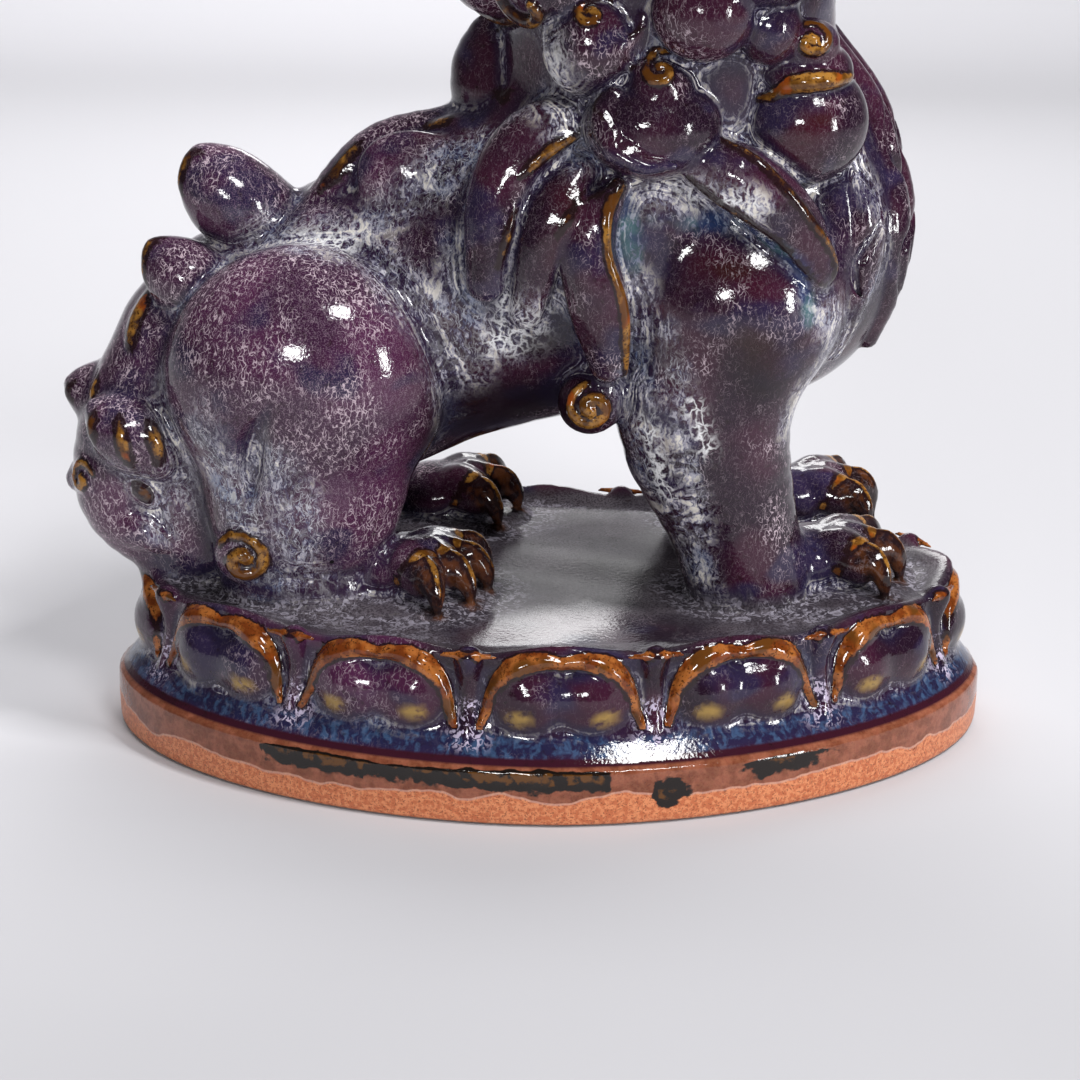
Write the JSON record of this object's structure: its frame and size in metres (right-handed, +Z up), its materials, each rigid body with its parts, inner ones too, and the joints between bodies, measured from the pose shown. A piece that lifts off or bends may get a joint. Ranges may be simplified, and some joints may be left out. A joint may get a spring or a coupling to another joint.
{
  "type": "glazed mythical beast statue",
  "caption": "Seated guardian beast with curled mane, spine knobs and clawed paws, of flambe-glazed stoneware, made in one piece with its oval lotus-petal plinth.",
  "frame": {"origin": "middle of the flat underside of the plinth's foot", "axes": "+Z up, +X towards the beast's chest along the plinth's length, -Y towards its right flank, which its head turns to"},
  "size_m": [0.2517, 0.1472, 0.2986],
  "materials": {
    "flambe_glaze": "glossy aubergine, blue and amber flambe glaze over stoneware; the foot band bare and copper-orange"
  },
  "bodies": {
    "root": {"beast_on_lotus_plinth": "flambe_glaze"}
  },
  "joints": []
}
